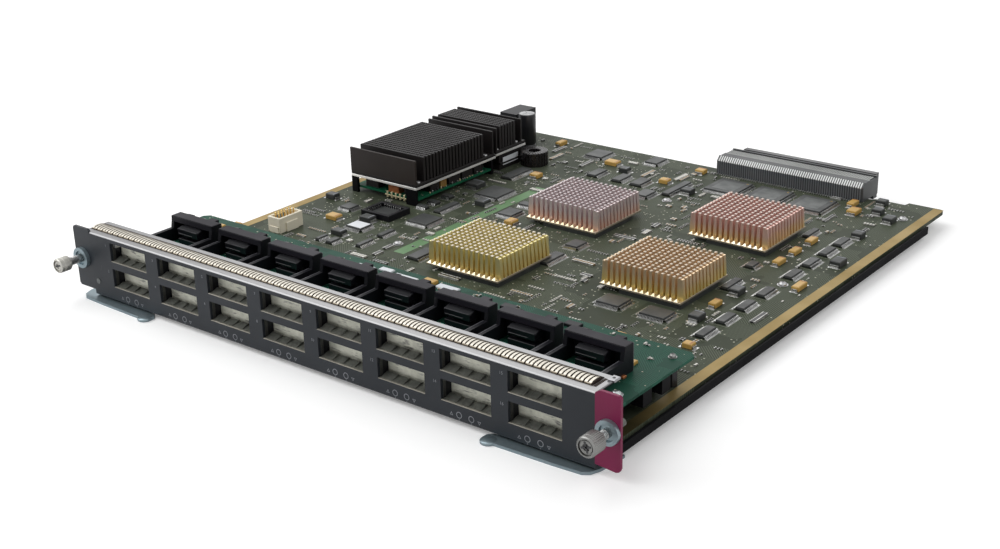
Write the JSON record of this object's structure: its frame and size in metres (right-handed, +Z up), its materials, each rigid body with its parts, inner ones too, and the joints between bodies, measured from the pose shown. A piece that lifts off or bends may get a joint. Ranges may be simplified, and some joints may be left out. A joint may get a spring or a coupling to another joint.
{
  "type": "network switch line card",
  "caption": "Chassis line card with two rows of optical ports, pin-fin heatsinks, finned power modules, ejector levers and captive screws.",
  "frame": {"origin": "centre of the bounding box at the level of the ejector levers' underside", "axes": "+X along the faceplate to the right seen from the front, +Y from the faceplate back to the backplane connector, +Z up from the solder side to the component side"},
  "size_m": [0.379, 0.4194, 0.0424],
  "materials": {
    "charcoal_paint": "satin powder coat",
    "plum_paint": "satin powder coat",
    "bare_steel": "zinc plated",
    "zinc": "blue passivated zinc",
    "knurled_steel": "turned and nickel plated",
    "spring_gold": "bright beryllium copper",
    "board_green": "solder mask over copper",
    "deck_green": "solder mask over copper",
    "black_steel": "matt black",
    "black_plastic": "moulded",
    "door_metal": "dull nickel",
    "pin_gold": "gold anodised",
    "pin_pink": "pale anodised",
    "pin_copper": "copper tinted anodised",
    "black_aluminium": "black anodised",
    "chip_black": "moulded epoxy",
    "can_silver": "aluminium can with sleeve",
    "coil_dark": "wound core",
    "connector_grey": "glass filled",
    "ivory": "nylon",
    "contact_gold": "plated pins",
    "tantalum_yellow": "moulded",
    "lens_clear": "clear lens"
  },
  "bodies": {
    "card": {"faceplate": "charcoal_paint", "left_end_bracket": "charcoal_paint", "right_end_bracket": "plum_paint", "left_screw_ferrule": "zinc", "right_screw_ferrule": "zinc", "ejector_pivots": "bare_steel", "emi_gasket": "spring_gold", "main_board": "board_green", "daughter_board": "deck_green", "carrier_tray": "black_steel", "upper_port_guides": "black_plastic", "lower_port_guides": "black_plastic", "port_sockets": "black_plastic", "pin_heatsink_1": "pin_gold", "pin_heatsink_2": "pin_pink", "pin_heatsink_3": "pin_gold", "pin_heatsink_4": "pin_copper", "cooled_packages": "chip_black", "power_module_1": "chip_black", "power_heatsink_1": "black_aluminium", "power_module_2": "chip_black", "power_heatsink_2": "black_aluminium", "module_legs": "black_steel", "filter_block": "black_plastic", "electrolytic_capacitor": "can_silver", "toroid_inductor": "coil_dark", "backplane_connector": "connector_grey", "backplane_shroud": "connector_grey", "header_housing": "ivory", "header_pins": "contact_gold", "chip_socket": "black_plastic", "logic_chips": "chip_black", "tantalum_capacitors": "tantalum_yellow", "power_diodes": "chip_black", "board_screws": "bare_steel", "deck_posts": "bare_steel", "deck_connector": "black_plastic", "status_light": "lens_clear"},
    "left_lever": {"left_ejector_lever": "zinc"},
    "right_lever": {"right_ejector_lever": "zinc"},
    "left_clip_slide": {"left_screw_clip": "bare_steel"},
    "left_screw": {"left_captive_screw": "knurled_steel"},
    "right_clip_slide": {"right_screw_clip": "bare_steel"},
    "right_screw": {"right_captive_screw": "knurled_steel"},
    "upper_flap_1": {"upper_door_1": "door_metal"},
    "upper_flap_2": {"upper_door_2": "door_metal"},
    "upper_flap_3": {"upper_door_3": "door_metal"},
    "upper_flap_4": {"upper_door_4": "door_metal"},
    "upper_flap_5": {"upper_door_5": "door_metal"},
    "upper_flap_6": {"upper_door_6": "door_metal"},
    "upper_flap_7": {"upper_door_7": "door_metal"},
    "upper_flap_8": {"upper_door_8": "door_metal"},
    "lower_flap_1": {"lower_door_1": "door_metal"},
    "lower_flap_2": {"lower_door_2": "door_metal"},
    "lower_flap_3": {"lower_door_3": "door_metal"},
    "lower_flap_4": {"lower_door_4": "door_metal"},
    "lower_flap_5": {"lower_door_5": "door_metal"},
    "lower_flap_6": {"lower_door_6": "door_metal"},
    "lower_flap_7": {"lower_door_7": "door_metal"},
    "lower_flap_8": {"lower_door_8": "door_metal"}
  },
  "joints": [
    {"name": "upper_door_1_hinge", "type": "hinge", "parent": "card", "child": "upper_flap_1", "pos_m": [-0.1419, -0.184, 0.03805], "axis": [1, 0, 0], "range_deg": [0, 80], "stiffness_Nm_per_rad": 0.0008},
    {"name": "upper_door_2_hinge", "type": "hinge", "parent": "card", "child": "upper_flap_2", "pos_m": [-0.10125, -0.184, 0.03805], "axis": [1, 0, 0], "range_deg": [0, 80], "stiffness_Nm_per_rad": 0.0008},
    {"name": "upper_door_3_hinge", "type": "hinge", "parent": "card", "child": "upper_flap_3", "pos_m": [-0.0606, -0.184, 0.03805], "axis": [1, 0, 0], "range_deg": [0, 80], "stiffness_Nm_per_rad": 0.0008},
    {"name": "upper_door_4_hinge", "type": "hinge", "parent": "card", "child": "upper_flap_4", "pos_m": [-0.01995, -0.184, 0.03805], "axis": [1, 0, 0], "range_deg": [0, 80], "stiffness_Nm_per_rad": 0.0008},
    {"name": "upper_door_5_hinge", "type": "hinge", "parent": "card", "child": "upper_flap_5", "pos_m": [0.0207, -0.184, 0.03805], "axis": [1, 0, 0], "range_deg": [0, 80], "stiffness_Nm_per_rad": 0.0008},
    {"name": "upper_door_6_hinge", "type": "hinge", "parent": "card", "child": "upper_flap_6", "pos_m": [0.06135, -0.184, 0.03805], "axis": [1, 0, 0], "range_deg": [0, 80], "stiffness_Nm_per_rad": 0.0008},
    {"name": "upper_door_7_hinge", "type": "hinge", "parent": "card", "child": "upper_flap_7", "pos_m": [0.102, -0.184, 0.03805], "axis": [1, 0, 0], "range_deg": [0, 80], "stiffness_Nm_per_rad": 0.0008},
    {"name": "upper_door_8_hinge", "type": "hinge", "parent": "card", "child": "upper_flap_8", "pos_m": [0.14265, -0.184, 0.03805], "axis": [1, 0, 0], "range_deg": [0, 80], "stiffness_Nm_per_rad": 0.0008},
    {"name": "lower_door_1_hinge", "type": "hinge", "parent": "card", "child": "lower_flap_1", "pos_m": [-0.1419, -0.184, 0.02235], "axis": [1, 0, 0], "range_deg": [0, 80], "stiffness_Nm_per_rad": 0.0008},
    {"name": "lower_door_2_hinge", "type": "hinge", "parent": "card", "child": "lower_flap_2", "pos_m": [-0.10125, -0.184, 0.02235], "axis": [1, 0, 0], "range_deg": [0, 80], "stiffness_Nm_per_rad": 0.0008},
    {"name": "lower_door_3_hinge", "type": "hinge", "parent": "card", "child": "lower_flap_3", "pos_m": [-0.0606, -0.184, 0.02235], "axis": [1, 0, 0], "range_deg": [0, 80], "stiffness_Nm_per_rad": 0.0008},
    {"name": "lower_door_4_hinge", "type": "hinge", "parent": "card", "child": "lower_flap_4", "pos_m": [-0.01995, -0.184, 0.02235], "axis": [1, 0, 0], "range_deg": [0, 80], "stiffness_Nm_per_rad": 0.0008},
    {"name": "lower_door_5_hinge", "type": "hinge", "parent": "card", "child": "lower_flap_5", "pos_m": [0.0207, -0.184, 0.02235], "axis": [1, 0, 0], "range_deg": [0, 80], "stiffness_Nm_per_rad": 0.0008},
    {"name": "lower_door_6_hinge", "type": "hinge", "parent": "card", "child": "lower_flap_6", "pos_m": [0.06135, -0.184, 0.02235], "axis": [1, 0, 0], "range_deg": [0, 80], "stiffness_Nm_per_rad": 0.0008},
    {"name": "lower_door_7_hinge", "type": "hinge", "parent": "card", "child": "lower_flap_7", "pos_m": [0.102, -0.184, 0.02235], "axis": [1, 0, 0], "range_deg": [0, 80], "stiffness_Nm_per_rad": 0.0008},
    {"name": "lower_door_8_hinge", "type": "hinge", "parent": "card", "child": "lower_flap_8", "pos_m": [0.14265, -0.184, 0.02235], "axis": [1, 0, 0], "range_deg": [0, 80], "stiffness_Nm_per_rad": 0.0008},
    {"name": "left_lever_pivot", "type": "hinge", "parent": "card", "child": "left_lever", "pos_m": [-0.1725, -0.1822, 0.0008], "axis": [0, 0, -1], "range_deg": [0, 75]},
    {"name": "right_lever_pivot", "type": "hinge", "parent": "card", "child": "right_lever", "pos_m": [0.1645, -0.1822, 0.0008], "axis": [0, 0, 1], "range_deg": [0, 75]},
    {"name": "left_screw_slide", "type": "slide", "parent": "card", "child": "left_clip_slide", "axis": [0, 1, 0], "range_m": [0, 0.006]},
    {"name": "left_screw_spin", "type": "hinge", "parent": "left_clip_slide", "child": "left_screw", "pos_m": [-0.1833, -0.1881, 0.0237], "axis": [0, 1, 0], "continuous": true},
    {"name": "right_screw_slide", "type": "slide", "parent": "card", "child": "right_clip_slide", "axis": [0, 1, 0], "range_m": [0, 0.006]},
    {"name": "right_screw_spin", "type": "hinge", "parent": "right_clip_slide", "child": "right_screw", "pos_m": [0.1833, -0.1881, 0.0237], "axis": [0, 1, 0], "continuous": true}
  ]
}
